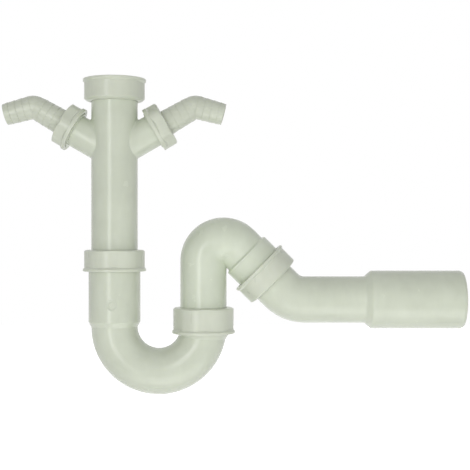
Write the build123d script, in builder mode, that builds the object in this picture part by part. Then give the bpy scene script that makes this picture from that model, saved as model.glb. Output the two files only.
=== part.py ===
from build123d import *
import os
from collections import namedtuple
from math import ceil, cos, radians, tan

# A sink's tubular trap in polypropylene. Sizes are in millimetres, +Z is up and +X points to the outlet.
# The origin is on the inlet's axis, at the open rim of the inlet union nut.

os.makedirs("parts", exist_ok=True)

# Tubes
tube_diameter = 40.0
tube_wall = 2.0
spigot_chamfer = 1.0

# Slip joints: a tube in a socket, with a wedge seal that a nut presses into the socket's flared mouth
socket_clearance = 0.4
socket_wall = 1.9
seat_flare_width = 1.8
seat_depth = 4.0
seal_depth = 3.0
seal_head = 3.8
seal_clearance = 0.2
thread_rise = 1.4
large_thread_length = 10.5
thread_chamfer = 0.5

# Nuts: hexagons with rounded corners, a flange round the open rim and a rounded closed end
thread_clearance = 0.3
nut_hole_clearance = 0.35
face_gap = 0.1
flange_chamfer = 0.4
large_nut_wall = 1.4
large_nut_corner = 0.7
large_nut_flange = 1.15
large_nut_flange_height = 2.0
large_nut_end_wall = 3.0
large_nut_round = 4.0
inlet_nut_height = 19.4
inlet_nut_round = 6.0
slip_nut_height = 18.5
bend_nut_height = 22.2
inlet_nut_turn = 50.0
slip_nut_turn = 5.0
bend_nut_turn = 6.0
outlet_nut_turn = 0.0

# Inlet tube, held in its union nut by a collar
inlet_tube_length = 177.6
collar_rise = 2.2
collar_thickness = 3.0
gasket_thickness = 2.5
gasket_margin = 0.2
tube_insertion = 36.5

# Branches for appliance hoses, one on each side
branch_depth = 63.6
branch_angle = 30.0
branch_diameter = 28.5
branch_wall = 2.25
branch_length = 44.7
branch_fillet = 1.2
small_thread_diameter = 32.8
small_thread_length = 6.5
small_nut_wall = 1.6
small_nut_corner = 1.45
small_nut_flange = 0.2
small_nut_flange_height = 3.0
small_nut_end_wall = 2.5
small_nut_round = 3.0
small_nut_height = 13.2
branch_gasket_thickness = 2.0
left_nut_turn = 30.0
right_nut_turn = 0.0

# Hose tails: a tapered tube with saw-tooth barbs on both legs of a bend
tail_collar_thickness = 2.8
tail_collar_clearance = 0.5
tail_root_diameter = 22.4
tail_bend_diameter = 20.0
tail_bore = 14.8
tail_knee_length = 79.9
tail_bend_radius = 6.0
tail_turn = 45.0
tail_leg_length = 26.2
barb_pitch = 6.3
barb_rise = 0.55
barb_step = 0.2
barb_start = 1.0

# Trap bend
trap_inlet_length = 59.5
trap_socket_floor = 6.0
trap_shoulder_length = 4.4
bend_radius = 38.5
bend_turn = 180.0
trap_outlet_length = 9.7
outlet_hub_length = 15.7
outlet_hub_cone_length = 6.5
gate_height = 19.8
gate_recess_diameter = 8.6
gate_recess_depth = 0.5
gate_nub_diameter = 4.6
gate_nub_rise = 0.3

# Gooseneck
gooseneck_insertion = 9.2
gooseneck_leg_length = 56.5
elbow_radius = 17.4
elbow_turn = 135.0
gooseneck_neck_length = 8.9
gooseneck_shoulder_length = 1.6
gooseneck_socket_length = 27.7
gooseneck_socket_floor = 2.2

# Outlet pipe
pipe_insertion = 22.5
pipe_leg_length = 39.4
pipe_bend_radius = 27.6
pipe_turn = 45.0
pipe_run_length = 52.0
pipe_cone_length = 5.5
pipe_cone_round = 2.5
end_diameter = 50.0
end_length = 79.3
end_chamfer_length = 2.4
end_chamfer_depth = 1.2

# Radii that several pieces share
tube_radius = tube_diameter / 2
tube_bore = tube_radius - tube_wall
socket_bore = tube_radius + socket_clearance
socket_radius = socket_bore + socket_wall
seat_radius = socket_bore + seat_flare_width
large_thread = socket_radius + thread_rise
small_thread = small_thread_diameter / 2
collar_radius = tube_radius + collar_rise
branch_radius = branch_diameter / 2
branch_bore = branch_radius - branch_wall
tail_root = tail_root_diameter / 2
tail_radius = tail_bend_diameter / 2
nut_hole = tube_radius + nut_hole_clearance

NutForm = namedtuple("NutForm", "bore flats corners flange flange_height rounding")


def nut_form(thread, wall, corner, flange, flange_height, rounding):
    """The radii of a nut that screws onto a thread, built outwards from its bore."""
    bore = thread + thread_clearance
    flats = bore + wall
    corners = flats + corner
    return NutForm(bore, flats, corners, corners + flange, flange_height, rounding)


large_nut = nut_form(
    large_thread, large_nut_wall, large_nut_corner,
    large_nut_flange, large_nut_flange_height, large_nut_round,
)
inlet_nut = large_nut._replace(rounding=inlet_nut_round)
small_nut = nut_form(
    small_thread, small_nut_wall, small_nut_corner,
    small_nut_flange, small_nut_flange_height, small_nut_round,
)


def half_section(place):
    """The plane through a piece's axis, with its radius along x and its height along y."""
    return Plane(origin=place.origin, x_dir=place.x_dir, z_dir=place.x_dir.cross(place.z_dir))


opposite = Rot(0, 0, 180)


def after_bend(place, bend, turn):
    """The place that a bend towards x leads to."""
    return place.moved(Pos(bend, 0, 0) * Rot(0, turn, 0) * Pos(-bend, 0, 0))


def straight(place, radius, length, mode=Mode.ADD):
    """A round bar from a place along its axis."""
    with BuildSketch(place) as section:
        Circle(radius)
    extrude(section.sketch, amount=length, mode=mode)


def bent(place, radius, bend, turn, mode=Mode.ADD):
    """A round bar bent towards x. A bend tighter than the bar is cut at its axis, which leaves a crease."""
    with BuildSketch(place) as section:
        Circle(radius)
        if bend < radius:
            with Locations((bend - radius, 0)):
                Rectangle(2 * radius, 2 * radius, mode=Mode.INTERSECT)
    centre = place.origin + place.x_dir * bend
    revolve(section.sketch, axis=Axis(centre, place.y_dir), revolution_arc=turn, mode=mode)


def turned(place, outline, mode=Mode.ADD):
    """A turned form about a place's axis, from the corners of its half section."""
    with BuildSketch(half_section(place)) as section:
        with BuildLine():
            Polyline(*outline, close=True)
        make_face()
    revolve(section.sketch, axis=Axis(place.origin, place.z_dir), mode=mode)


def save(piece, name):
    """Labels a finished piece and writes its file."""
    piece.part.label = name
    export_step(piece.part, f"parts/{name}.step")


def union_nut(name, rim, height, form, hole, steps, turn):
    """A nut from its open rim along the rim's axis, hollowed by steps of radius and depth."""
    sharp_corner = form.flats / cos(radians(30))
    corner_round = form.flats * (sharp_corner - form.corners) / (sharp_corner - form.flats)
    with BuildPart() as nut:
        with BuildSketch(rim) as hexagon:
            RegularPolygon(form.flats, 6, major_radius=False, rotation=turn)
            fillet(hexagon.vertices(), corner_round)
        extrude(amount=height)
        with BuildSketch(half_section(rim)) as envelope:
            Rectangle(form.flange, height, align=Align.MIN)
            fillet(envelope.vertices().sort_by(Axis.X)[-2:].sort_by(Axis.Y)[-1], form.rounding)
        revolve(axis=Axis(rim.origin, rim.z_dir), mode=Mode.INTERSECT)
        cone_top = form.flange_height + form.flange - form.bore
        turned(rim, [
            (0, 0),
            (form.flange - flange_chamfer, 0),
            (form.flange, flange_chamfer),
            (form.flange, form.flange_height),
            (form.bore, cone_top),
            (0, cone_top),
        ])
        for radius, depth in steps:
            straight(rim, radius, depth, Mode.SUBTRACT)
        straight(rim, hole, height, Mode.SUBTRACT)
    save(nut, name)


def gasket_ring(name, face, inner, outer, thickness):
    """A flat ring that lies on a face."""
    with BuildPart() as ring:
        with BuildSketch(face):
            Circle(outer)
            Circle(inner, mode=Mode.SUBTRACT)
        extrude(amount=thickness)
    save(ring, name)


def wedge_seal(name, mouth):
    """A wedge ring round a tube, in the flared mouth of a socket that opens along the mouth's axis."""
    inner = tube_radius + seal_clearance
    head = seat_radius - seal_clearance
    toe = head - seat_flare_width * seal_depth / seat_depth
    with BuildPart() as seal:
        turned(mouth, [
            (inner, -seal_depth),
            (toe, -seal_depth),
            (head, 0),
            (head, seal_head),
            (inner, seal_head),
        ])
    save(seal, name)


def open_socket(mouth, depth):
    """Bores a socket back from its mouth and flares the mouth for its wedge seal."""
    straight(mouth, socket_bore, -depth, Mode.SUBTRACT)
    turned(mouth, [(0, 0), (seat_radius, 0), (socket_bore, -seat_depth), (0, -seat_depth)], Mode.SUBTRACT)


def slip_nut_rim(mouth, height):
    """Where a slip nut's open rim lies, with its closed end on the head of the wedge seal."""
    return mouth.offset(seal_head + face_gap + large_nut_end_wall - height)


def threaded_end(body_radius, thread_length):
    """The half section of a threaded socket end, from its mouth back to the body."""
    return [
        (0, 0),
        (large_thread - thread_chamfer, 0),
        (large_thread, -thread_chamfer),
        (large_thread, -thread_length),
        (body_radius, -thread_length),
    ]


def spigot(place, length):
    """A plain tube end with a chamfered edge."""
    turned(place, [
        (0, 0),
        (tube_radius - spigot_chamfer, 0),
        (tube_radius, spigot_chamfer),
        (tube_radius, length),
        (0, length),
    ])


# Inlet union nut: its thread takes the sink's waste, its recess the tube's collar and the gasket.
# The collar hangs on the shoulder inside the closed end.
inlet_rim = Plane(origin=(0, 0, 0), x_dir=(1, 0, 0), z_dir=(0, 0, -1))
shoulder_depth = inlet_nut_height - large_nut_end_wall
tube_top_depth = shoulder_depth - face_gap - collar_thickness
gasket_top_depth = tube_top_depth - gasket_thickness
thread_depth = gasket_top_depth - socket_clearance
recess = collar_radius + socket_clearance
union_nut(
    "inlet_union_nut", inlet_rim, inlet_nut_height, inlet_nut, nut_hole,
    [(inlet_nut.bore, thread_depth), (recess, shoulder_depth)], inlet_nut_turn,
)
gasket_ring(
    "inlet_gasket", inlet_rim.offset(gasket_top_depth),
    tube_bore, collar_radius - gasket_margin, gasket_thickness,
)

# Inlet tube with its collar and the two slanted branches, each with a threaded end.
tube_top = inlet_rim.offset(tube_top_depth)


def branch_place(side):
    """A branch's start on the tube's axis, along the branch, with x pointing down."""
    upright = Plane(origin=(0, 0, -branch_depth), x_dir=(side, 0, 0), z_dir=(0, 0, 1))
    return upright.moved(Rot(0, 90 - branch_angle, 0))


branches = {"left": branch_place(-1), "right": branch_place(1)}

with BuildPart() as inlet_tube:
    straight(tube_top, tube_radius, inlet_tube_length)
    for branch in branches.values():
        straight(branch, branch_radius, branch_length)
    creases = inlet_tube.edges().filter_by(GeomType.BSPLINE)
    fillet(creases, branch_fillet)
    tube_end = tube_top.offset(inlet_tube_length)
    end_edge = inlet_tube.edges().filter_by(GeomType.CIRCLE).sort_by(Axis.Z)[0]
    chamfer(end_edge, spigot_chamfer)
    straight(tube_top, collar_radius, collar_thickness)
    for branch in branches.values():
        straight(branch.offset(branch_length), small_thread, -small_thread_length)
    straight(tube_top, tube_bore, inlet_tube_length, Mode.SUBTRACT)
    for branch in branches.values():
        straight(branch, branch_bore, branch_length, Mode.SUBTRACT)
save(inlet_tube, "inlet_tube")


def barbed(leg, start, end, first_crest):
    """Saw-tooth barbs from start to end along a leg. Each falls towards the tip, and each is smaller."""
    corners = [(0, start)]
    for index in range(ceil((end - start) / barb_pitch)):
        crest = first_crest - index * barb_step
        low = start + index * barb_pitch
        high = min(low + barb_pitch, end)
        corners += [(crest, low), (crest - barb_rise, high)]
    turned(leg, corners + [(0, end)])


# Branch fittings: on each branch a flat gasket, a barbed hose tail and the nut that clamps its collar.
tail_collar = small_nut.bore - tail_collar_clearance
collar_start = branch_length + branch_gasket_thickness + face_gap
collar_end = collar_start + tail_collar_thickness
small_nut_end = collar_end + face_gap + small_nut_end_wall
bend_start = tail_knee_length - tail_bend_radius * tan(radians(tail_turn / 2))
bend_reach = tail_knee_length - bend_start
nut_turns = {"left": left_nut_turn, "right": right_nut_turn}

for side, branch in branches.items():
    gasket_ring(
        f"{side}_branch_gasket", branch.offset(branch_length),
        branch_bore, tail_collar, branch_gasket_thickness,
    )

    bend_place = branch.offset(bend_start)
    tip_leg = after_bend(bend_place, tail_bend_radius, tail_turn)
    tip_length = tail_leg_length - bend_reach
    with BuildPart() as hose_tail:
        straight(branch.offset(collar_start), tail_collar, tail_collar_thickness)
        straight(branch.offset(collar_start), tail_radius, bend_start - collar_start)
        straight(branch.offset(collar_start), tail_root, small_nut_end + barb_start - collar_start)
        barbed(branch, small_nut_end + barb_start, bend_start, tail_root)
        bent(bend_place, tail_radius, tail_bend_radius, tail_turn)
        barbed(tip_leg, 0, tip_length, tail_radius + barb_rise / 2)
        straight(branch.offset(collar_start), tail_bore / 2, bend_start - collar_start, Mode.SUBTRACT)
        bent(bend_place, tail_bore / 2, tail_bend_radius, tail_turn, Mode.SUBTRACT)
        straight(tip_leg, tail_bore / 2, tip_length, Mode.SUBTRACT)
    save(hose_tail, f"{side}_hose_tail")

    union_nut(
        f"{side}_branch_nut", branch.offset(small_nut_end - small_nut_height), small_nut_height, small_nut,
        tail_root + socket_clearance, [(small_nut.bore, small_nut_height - small_nut_end_wall)],
        nut_turns[side],
    )

# Trap bend: a long threaded socket, a half-round bend and a short threaded outlet, in one moulding.
# A round gate mark with a small nub is left on the front of the socket.
trap_mouth = Plane(origin=tube_end.origin + (0, 0, tube_insertion), x_dir=(1, 0, 0), z_dir=(0, 0, 1))
trap_inlet = Plane(origin=trap_mouth.origin, x_dir=(1, 0, 0), z_dir=(0, 0, -1))
bend_inlet = trap_inlet.offset(trap_inlet_length)
bend_outlet = after_bend(bend_inlet, bend_radius, bend_turn)
outlet_mouth = bend_outlet.offset(trap_outlet_length)
gate = Plane(
    origin=trap_mouth.origin - (0, 0, trap_inlet_length - gate_height), x_dir=(0, 0, 1), z_dir=(0, -1, 0)
)

with BuildPart() as trap_bend:
    turned(trap_mouth, threaded_end(socket_radius, large_thread_length) + [
        (socket_radius, trap_shoulder_length - trap_inlet_length),
        (tube_radius, -trap_inlet_length),
        (0, -trap_inlet_length),
    ])
    straight(gate, gate_recess_diameter / 2, 2 * socket_radius, Mode.SUBTRACT)
    straight(gate, gate_recess_diameter / 2, socket_radius - gate_recess_depth)
    straight(gate, gate_nub_diameter / 2, socket_radius - gate_recess_depth + gate_nub_rise)
    bent(bend_inlet, tube_radius, bend_radius, bend_turn)
    turned(outlet_mouth, threaded_end(socket_radius, large_thread_length) + [
        (socket_radius, -outlet_hub_length),
        (tube_bore, -outlet_hub_length - outlet_hub_cone_length),
        (0, -outlet_hub_length - outlet_hub_cone_length),
    ])
    straight(trap_inlet, tube_bore, trap_inlet_length, Mode.SUBTRACT)
    bent(bend_inlet, tube_bore, bend_radius, bend_turn, Mode.SUBTRACT)
    open_socket(trap_mouth, trap_inlet_length - trap_socket_floor)
    open_socket(outlet_mouth, trap_outlet_length)
save(trap_bend, "trap_bend")

wedge_seal("slip_seal", trap_mouth)
slip_steps = [(large_nut.bore, slip_nut_height - large_nut_end_wall)]
union_nut(
    "slip_nut", slip_nut_rim(trap_mouth, slip_nut_height), slip_nut_height,
    large_nut, nut_hole, slip_steps, slip_nut_turn,
)
wedge_seal("bend_outlet_seal", outlet_mouth)
union_nut(
    "bend_outlet_nut", slip_nut_rim(outlet_mouth, bend_nut_height), bend_nut_height,
    large_nut, nut_hole, [(large_nut.bore, bend_nut_height - large_nut_end_wall)], bend_nut_turn,
)

# Gooseneck: a spigot in the bend's outlet, a tight elbow with a creased inside, and a slanted socket.
gooseneck_end = outlet_mouth.offset(-gooseneck_insertion).moved(opposite)
elbow_start = gooseneck_end.offset(gooseneck_leg_length)
elbow_end = after_bend(elbow_start, elbow_radius, elbow_turn)
gooseneck_mouth = elbow_end.offset(gooseneck_neck_length + gooseneck_socket_length)

with BuildPart() as gooseneck:
    spigot(gooseneck_end, gooseneck_leg_length)
    bent(elbow_start, tube_radius, elbow_radius, elbow_turn)
    straight(elbow_end, tube_radius, gooseneck_neck_length)
    turned(gooseneck_mouth, threaded_end(socket_radius, large_thread_length) + [
        (socket_radius, gooseneck_shoulder_length - gooseneck_socket_length),
        (tube_radius, -gooseneck_socket_length),
        (0, -gooseneck_socket_length),
    ])
    straight(gooseneck_end, tube_bore, gooseneck_leg_length, Mode.SUBTRACT)
    bent(elbow_start, tube_bore, elbow_radius, elbow_turn, Mode.SUBTRACT)
    straight(elbow_end, tube_bore, gooseneck_neck_length + gooseneck_socket_length, Mode.SUBTRACT)
    open_socket(gooseneck_mouth, gooseneck_socket_length - gooseneck_socket_floor)
save(gooseneck, "gooseneck")

wedge_seal("gooseneck_outlet_seal", gooseneck_mouth)
union_nut(
    "gooseneck_outlet_nut", slip_nut_rim(gooseneck_mouth, slip_nut_height), slip_nut_height,
    large_nut, nut_hole, slip_steps, outlet_nut_turn,
)

# Outlet pipe: a spigot in the gooseneck's socket, a bend to level, and a cone up to the wider wall end.
pipe_start = gooseneck_mouth.offset(-pipe_insertion).moved(opposite)
pipe_bend_start = pipe_start.offset(pipe_leg_length)
pipe_level = after_bend(pipe_bend_start, pipe_bend_radius, pipe_turn)
pipe_length = pipe_run_length + pipe_cone_length + end_length
end_radius = end_diameter / 2
end_bore = end_radius - tube_wall

with BuildPart() as outlet_pipe:
    spigot(pipe_start, pipe_leg_length)
    bent(pipe_bend_start, tube_radius, pipe_bend_radius, pipe_turn)
    turned(pipe_level, [
        (0, 0),
        (tube_radius, 0),
        (tube_radius, pipe_run_length),
        (end_radius, pipe_run_length + pipe_cone_length),
        (end_radius, pipe_length - end_chamfer_length),
        (end_radius - end_chamfer_depth, pipe_length),
        (0, pipe_length),
    ])
    cone = outlet_pipe.faces().filter_by(GeomType.CONE).sort_by(Axis.X)[1]
    fillet(cone.edges().filter_by(GeomType.CIRCLE), pipe_cone_round)
    straight(pipe_start, tube_bore, pipe_leg_length, Mode.SUBTRACT)
    bent(pipe_bend_start, tube_bore, pipe_bend_radius, pipe_turn, Mode.SUBTRACT)
    turned(pipe_level, [
        (0, 0),
        (tube_bore, 0),
        (tube_bore, pipe_run_length),
        (end_bore, pipe_run_length + pipe_cone_length),
        (end_bore, pipe_length),
        (0, pipe_length),
    ], Mode.SUBTRACT)
save(outlet_pipe, "outlet_pipe")
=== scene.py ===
import math

import bpy
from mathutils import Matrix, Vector


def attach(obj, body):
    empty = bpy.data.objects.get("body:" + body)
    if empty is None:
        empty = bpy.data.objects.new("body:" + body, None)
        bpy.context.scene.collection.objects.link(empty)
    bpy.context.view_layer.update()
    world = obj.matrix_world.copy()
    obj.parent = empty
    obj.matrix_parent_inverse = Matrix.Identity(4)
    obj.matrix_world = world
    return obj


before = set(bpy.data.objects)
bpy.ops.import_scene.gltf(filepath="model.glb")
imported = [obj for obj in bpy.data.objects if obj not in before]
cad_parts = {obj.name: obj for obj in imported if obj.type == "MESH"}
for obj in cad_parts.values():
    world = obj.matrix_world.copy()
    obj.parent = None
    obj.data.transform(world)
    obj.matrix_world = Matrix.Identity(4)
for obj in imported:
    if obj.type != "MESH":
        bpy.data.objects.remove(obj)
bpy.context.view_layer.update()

# Inlet union nut: an injection-moulded hexagon in polypropylene, captive on the inlet tube.
# Its open end screws onto the sink's waste, so a pipe thread runs round the inside of the rim.
MM = 0.001


class Shade:
    """One socket of a node tree. Arithmetic on it adds Math nodes, and node() adds any other kind."""

    def __init__(self, tree, socket=None):
        self.tree = tree
        self.socket = socket

    def node(self, kind, output, settings=None, sockets=None):
        made = self.tree.nodes.new(kind)
        for name, value in (settings or {}).items():
            setattr(made, name, value)
        for name, value in (sockets or {}).items():
            self.feed(made.inputs[name], value)
        return Shade(self.tree, made.outputs[output])

    def feed(self, target, value):
        if isinstance(value, Shade):
            self.tree.links.new(value.socket, target)
        else:
            target.default_value = value

    def maths(self, operation, first, second=0.0):
        return self.node("ShaderNodeMath", 0, {"operation": operation}, {0: first, 1: second})

    def __add__(self, other):
        return self.maths("ADD", self, other)

    def __sub__(self, other):
        return self.maths("SUBTRACT", self, other)

    def __rsub__(self, other):
        return self.maths("SUBTRACT", other, self)

    def __mul__(self, other):
        return self.maths("MULTIPLY", self, other)

    def __truediv__(self, other):
        return self.maths("DIVIDE", self, other)

    def __rtruediv__(self, other):
        return self.maths("DIVIDE", other, self)

    __radd__ = __add__
    __rmul__ = __mul__

    def __abs__(self):
        return self.maths("ABSOLUTE", self)

    def at_least(self, other):
        return self.maths("MAXIMUM", self, other)

    def at_most(self, other):
        return self.maths("MINIMUM", self, other)

    def ramp(self, low, slope):
        """0 up to a low value, then rising at a slope to 1."""
        return ((self - low) * slope).at_least(0.0).at_most(1.0)

    def mixed(self, first, second):
        """The colour that this value, 0 to 1, picks between two. The Mix node's sockets go by number."""
        factor, first_colour, second_colour, colour_result = 0, 6, 7, 2
        sockets = {factor: self, first_colour: first, second_colour: second}
        return self.node("ShaderNodeMix", colour_result, {"data_type": "RGBA"}, sockets)


def linear(red, green, blue):
    """A colour as a paint chart gives it, 0 to 255, in the linear values that a shader takes."""
    parts = [value / 255 for value in (red, green, blue)]
    return [p / 12.92 if p <= 0.04045 else ((p + 0.055) / 1.055) ** 2.4 for p in parts] + [1.0]


def new_finish(name):
    """A new material, its shader and a start for its nodes."""
    material = bpy.data.materials.new(name)
    material.use_nodes = True
    tree = material.node_tree
    return material, tree.nodes["Principled BSDF"], Shade(tree)


POLYPROPYLENE_IOR = 1.49
SCATTER_DEPTH = 2.5 * MM
EDGE_ROUNDING = 0.45 * MM
SEAM_HALF_WIDTH = 0.5 * MM
PEEL_HEIGHT = 0.010
FLOW_HEIGHT = 0.012


def moulded_plastic(name, pale, deep, gloss, seam_height=0.0):
    """Natural polypropylene: faintly cloudy colour, a fine orange-peel skin and a mould's parting line.
    The heights of its relief are in millimetres."""
    material, shader, start = new_finish(name)
    place = start.node("ShaderNodeTexCoord", "Object")

    def noise(scale, detail, stretch=(1.0, 1.0, 1.0)):
        spot = start.node("ShaderNodeMapping", "Vector", None, {"Vector": place, "Scale": stretch})
        sockets = {"Vector": spot, "Scale": scale, "Detail": detail, "Roughness": 0.55}
        return start.node("ShaderNodeTexNoise", "Fac", None, sockets)

    cloud = noise(scale=38.0, detail=3.0)
    flow = noise(scale=150.0, detail=2.0, stretch=(1.0, 1.0, 0.25))
    peel = noise(scale=1400.0, detail=2.0)
    rubbed = noise(scale=95.0, detail=4.0).ramp(low=0.56, slope=6.0)
    blend = (cloud * 0.7 + flow * 0.3).ramp(low=0.35, slope=3.2)
    colour = blend.mixed(linear(*deep), linear(*pale))
    across = start.node("ShaderNodeSeparateXYZ", "Y", None, {"Vector": place})
    seam = (1.0 - abs(across) / SEAM_HALF_WIDTH).at_least(0.0)
    height = peel * PEEL_HEIGHT + flow * FLOW_HEIGHT + seam * seam_height
    edge = start.node("ShaderNodeBevel", "Normal", {"samples": 6}, {"Radius": EDGE_ROUNDING})
    relief = {"Strength": 1.0, "Distance": MM, "Height": height, "Normal": edge}
    skin = start.node("ShaderNodeBump", "Normal", None, relief)
    start.feed(shader.inputs["Base Color"], colour)
    start.feed(shader.inputs["Roughness"], gloss + (flow - 0.5) * 0.10 + rubbed * 0.07 + seam * 0.05)
    start.feed(shader.inputs["Normal"], skin)
    shader.inputs["IOR"].default_value = POLYPROPYLENE_IOR
    shader.inputs["Subsurface Weight"].default_value = 0.35
    shader.inputs["Subsurface Radius"].default_value = (1.0, 1.0, 0.8)
    shader.inputs["Subsurface Scale"].default_value = SCATTER_DEPTH
    return material


def dress(material, *nodes):
    """Puts a finish on CAD pieces."""
    for name in nodes:
        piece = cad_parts[name]
        piece.data.materials.clear()
        piece.data.materials.append(material)


nut_plastic = moulded_plastic("nut_plastic", pale=(212, 217, 201), deep=(205, 210, 194), gloss=0.29)
dress(nut_plastic, "inlet_union_nut")

LARGE_NUT_BORE = 24.0 * MM
PIPE_THREAD_DEPTH = 1.05 * MM
PIPE_THREAD_PITCH = 2.309 * MM
STEPS_PER_TURN = 96
FADE_TURNS = 0.5
THINNEST_END = 0.15
# The ridge's section from foot to foot: along the nut's axis in pitches, inwards in thread depths.
RIDGE_SECTION = [(-0.46, -0.06), (-0.20, 0.72), (-0.07, 1.0), (0.07, 1.0), (0.20, 0.72), (0.46, -0.06)]


def nut_thread(name, nut, axis_x, top, bottom):
    """The ridge of a large nut's thread, from top down to bottom. It fades in and out over half a turn."""
    turns = (top - bottom) / PIPE_THREAD_PITCH
    count = round(turns * STEPS_PER_TURN)
    points = []
    for step in range(count + 1):
        turn = step / STEPS_PER_TURN
        angle = 2 * math.pi * turn
        rise = min(1.0, turn / FADE_TURNS, (turns - turn) / FADE_TURNS)
        for along, inwards in RIDGE_SECTION:
            radius = LARGE_NUT_BORE - PIPE_THREAD_DEPTH * (inwards * rise if inwards > 0 else inwards)
            height = top - (turn + along * max(rise, THINNEST_END)) * PIPE_THREAD_PITCH
            points.append((axis_x + radius * math.cos(angle), radius * math.sin(angle), height))
    width = len(RIDGE_SECTION)
    faces = []
    for step in range(count):
        for column in range(width - 1):
            corner = step * width + column
            faces.append((corner, corner + width, corner + width + 1, corner + 1))
    mesh = bpy.data.meshes.new(name)
    mesh.from_pydata(points, [], faces)
    mesh.shade_smooth()
    mesh.materials.append(nut_plastic)
    thread = bpy.data.objects.new(name, mesh)
    bpy.context.scene.collection.objects.link(thread)
    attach(thread, nut)


nut_thread("inlet_thread", "inlet_union_nut", axis_x=0.0, top=-1.6 * MM, bottom=-9.2 * MM)

# Gaskets and wedge seals: black synthetic rubber, pressed in a mould, with a dull, faintly grainy skin.
# The flat rings lie on the tube's collar and the branches, the wedges sit in the sockets under the nuts.
GRAIN_HEIGHT = 0.02 * MM


def seal_rubber_finish():
    """Black rubber with a greyish bloom and a fine grain."""
    material, shader, start = new_finish("seal_rubber")
    place = start.node("ShaderNodeTexCoord", "Object")
    bloom = start.node("ShaderNodeTexNoise", "Fac", None, {"Vector": place, "Scale": 220.0, "Detail": 4.0})
    grain = start.node("ShaderNodeTexNoise", "Fac", None, {"Vector": place, "Scale": 2600.0, "Detail": 2.0})
    relief = {"Strength": 0.6, "Distance": GRAIN_HEIGHT, "Height": grain}
    skin = start.node("ShaderNodeBump", "Normal", None, relief)
    start.feed(shader.inputs["Base Color"], bloom.mixed(linear(38, 38, 39), linear(62, 62, 62)))
    start.feed(shader.inputs["Roughness"], 0.55 + bloom * 0.25)
    start.feed(shader.inputs["Normal"], skin)
    return material


dress(
    seal_rubber_finish(), "inlet_gasket", "left_branch_gasket", "right_branch_gasket",
    "slip_seal", "bend_outlet_seal", "gooseneck_outlet_seal",
)

# Inlet tube: a 40 mm polypropylene tube moulded in one with its collar and two slanted branches.
# The mould opens front and back, so its parting line runs up both sides of the tube.
SEAM_HEIGHT = 0.2
tube_plastic = moulded_plastic("tube_plastic", (211, 217, 200), (203, 209, 192), 0.21, SEAM_HEIGHT)
dress(tube_plastic, "inlet_tube")

# Hose tails and their nuts: barbed elbows that take an appliance's drain hose.
# Each is held on its branch by a small union nut that clamps its collar.
tail_plastic = moulded_plastic("tail_plastic", (211, 216, 200), (201, 206, 190), 0.25, SEAM_HEIGHT)
dress(tail_plastic, "left_hose_tail", "right_hose_tail")
dress(nut_plastic, "left_branch_nut", "right_branch_nut")

# Trap bend: the U that holds the water seal, one moulding with a long threaded socket and a short one.
# A slip nut clamps it on the inlet tube, and a taller nut clamps the gooseneck in its outlet.
# The taller nut reaches past the bend's own thread, so its last turns show from below.
BEND_OUTLET_X = 77.0 * MM
dress(tube_plastic, "trap_bend")
dress(nut_plastic, "slip_nut", "bend_outlet_nut")
nut_thread("bend_nut_thread", "bend_outlet_nut", BEND_OUTLET_X, top=-215.2 * MM, bottom=-218.8 * MM)

# Gooseneck: a tight elbow with a creased inside, moulded with the slanted socket for the outlet pipe.
# It stands in the bend's outlet and swivels there. Its plastic is painted a shade paler than the tube's, as
# painted light that brightens the gooseneck.
painted_light_elbow_plastic = moulded_plastic("painted_light_elbow_plastic", (215, 222, 204), (208, 215, 197), 0.22, SEAM_HEIGHT)
dress(painted_light_elbow_plastic, "gooseneck")
dress(nut_plastic, "gooseneck_outlet_nut")

# Outlet pipe: a 40 mm spigot and bend, moulded in one with the wider 50 mm end for the wall's socket.
# It slides and turns in the gooseneck's socket.
dress(tube_plastic, "outlet_pipe")

# Studio: a white floor well below the hanging trap, white surroundings and soft lamps.
# The main light comes from in front, a little to the left, as in a light tent.
# A low lamp lights the undersides. The fill and the back lamp make no highlights.
WHITE = (1, 1, 1, 1)
FLOOR_HEIGHT = -1.0
FLOOR_REACH = 9
FLOOR_GLOW = 0.80
AMBIENT = 0.42


def seen_directly(start):
    """1 where a ray comes straight from the camera or by way of a reflection or clear plastic, else 0."""
    kinds = ("Is Camera Ray", "Is Glossy Ray", "Is Transmission Ray")
    camera_ray, glossy_ray, clear_ray = (start.node("ShaderNodeLightPath", kind) for kind in kinds)
    return camera_ray.at_least(glossy_ray).at_least(clear_ray)


floor_mesh = bpy.data.meshes.new("floor")
floor_corners = [
    (-FLOOR_REACH, -FLOOR_REACH, FLOOR_HEIGHT),
    (FLOOR_REACH, -FLOOR_REACH, FLOOR_HEIGHT),
    (FLOOR_REACH, FLOOR_REACH, FLOOR_HEIGHT),
    (-FLOOR_REACH, FLOOR_REACH, FLOOR_HEIGHT),
]
floor_mesh.from_pydata(floor_corners, [], [(0, 1, 2, 3)])
floor = bpy.data.objects.new("floor", floor_mesh)
bpy.context.scene.collection.objects.link(floor)
floor_paper = bpy.data.materials.new("floor_paper")
floor_paper.use_nodes = True
floor_tree = floor_paper.node_tree
floor_tree.nodes.remove(floor_tree.nodes["Principled BSDF"])
paper = Shade(floor_tree)
lit = paper.node("ShaderNodeBsdfDiffuse", "BSDF", None, {"Color": linear(236, 236, 236)})
glow = paper.node(
    "ShaderNodeEmission", "Emission", None, {"Color": WHITE, "Strength": seen_directly(paper) * FLOOR_GLOW}
)
paper.feed(
    floor_tree.nodes["Material Output"].inputs["Surface"],
    paper.node("ShaderNodeAddShader", "Shader", None, {0: lit, 1: glow}),
)
floor_mesh.materials.append(floor_paper)

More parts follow.
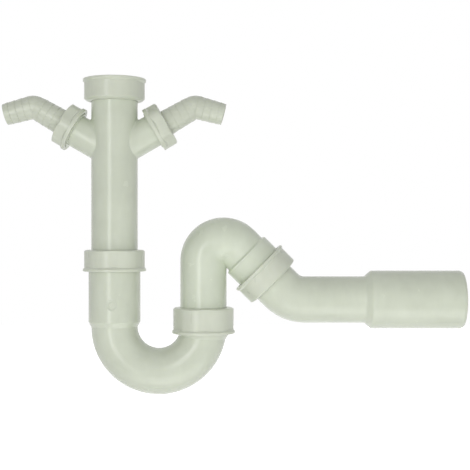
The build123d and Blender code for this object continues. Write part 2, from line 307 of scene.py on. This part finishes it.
world = bpy.data.worlds.new("studio")
bpy.context.scene.world = world
world.use_nodes = True
world_tree = world.node_tree
world_tree.nodes.remove(world_tree.nodes["Background"])
air = Shade(world_tree)
ambient = air.node("ShaderNodeBackground", "Background", None, {"Color": WHITE, "Strength": AMBIENT})
white = air.node("ShaderNodeBackground", "Background", None, {"Color": WHITE, "Strength": 1.0})
air.feed(
    world_tree.nodes["World Output"].inputs["Surface"],
    air.node("ShaderNodeMixShader", "Shader", None, {0: seen_directly(air), 1: ambient, 2: white}),
)

OBJECT_CENTRE = Vector((0.104, 0.0, -0.137))


def soft_lamp(name, place, width, height, power):
    """A softbox that faces the object."""
    light = bpy.data.lights.new(name, "AREA")
    light.shape = "RECTANGLE"
    light.size = width
    light.size_y = height
    light.energy = power
    lamp = bpy.data.objects.new(name, light)
    bpy.context.scene.collection.objects.link(lamp)
    lamp.location = place
    lamp.rotation_euler = (OBJECT_CENTRE - lamp.location).to_track_quat("-Z", "Y").to_euler()
    lamp.visible_camera = False
    return lamp


soft_lamp("window_lamp", (-0.70, -2.10, -0.13), width=0.62, height=1.40, power=10.0)
soft_lamp("low_lamp", (0.25, -0.48, -0.88), width=1.00, height=0.62, power=2.5)
fill_lamp = soft_lamp("fill_lamp", (0.26, -0.75, -0.12), width=0.50, height=0.50, power=1.55)
back_lamp = soft_lamp("back_lamp", (0.10, 1.90, 0.10), width=0.90, height=0.90, power=10.0)
for lamp in (fill_lamp, back_lamp):
    lamp.visible_glossy = False

SENSOR_WIDTH = 36.0
CAMERA_DISTANCE = 0.90
FRAME_WIDTH = 0.407
FRAME_CENTRE_X = 0.1043
FRAME_CENTRE_Z = -0.1347
camera_data = bpy.data.cameras.new("camera")
camera = bpy.data.objects.new("camera", camera_data)
bpy.context.scene.collection.objects.link(camera)
camera.location = (FRAME_CENTRE_X, -CAMERA_DISTANCE, FRAME_CENTRE_Z)
camera.rotation_euler = (math.radians(90), 0, 0)
camera_data.sensor_width = SENSOR_WIDTH
camera_data.lens = SENSOR_WIDTH * CAMERA_DISTANCE / FRAME_WIDTH
bpy.context.scene.camera = camera

bpy.context.scene.view_settings.view_transform = "Standard"
